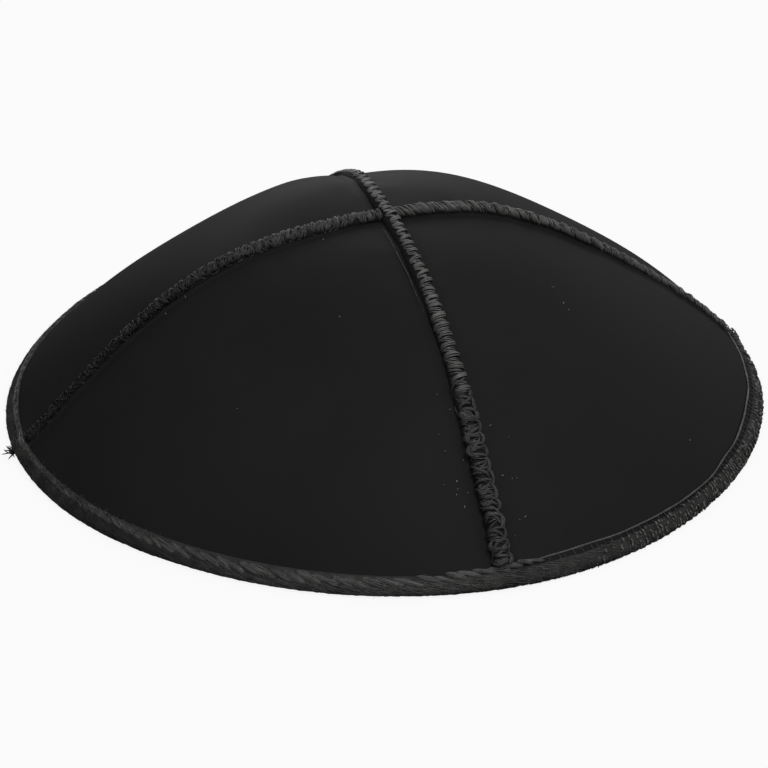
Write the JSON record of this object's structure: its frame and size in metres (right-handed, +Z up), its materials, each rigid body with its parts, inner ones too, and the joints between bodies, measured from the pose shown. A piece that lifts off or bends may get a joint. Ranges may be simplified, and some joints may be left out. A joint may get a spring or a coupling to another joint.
{
  "type": "skullcap",
  "caption": "Shallow domed skullcap of black leather panels joined by raised overlocked seams that cross at the crown, with an overlocked edging round an open rim.",
  "frame": {"origin": "on the ground at the middle of the rim", "axes": "+Z up through the crown, -Y to the front seam, +X to the right seam, seen from the front"},
  "size_m": [0.1659, 0.1659, 0.0465],
  "materials": {
    "leather": "matte black, fine grain",
    "thread": "black overlock thread, slightly fuzzy"
  },
  "bodies": {
    "root": {"panel_front_left": "leather", "panel_front_right": "leather", "panel_back_right": "leather", "panel_back_left": "leather", "seam_front_back": "thread", "seam_left": "thread", "seam_right": "thread", "rim_edging": "thread"}
  },
  "joints": []
}
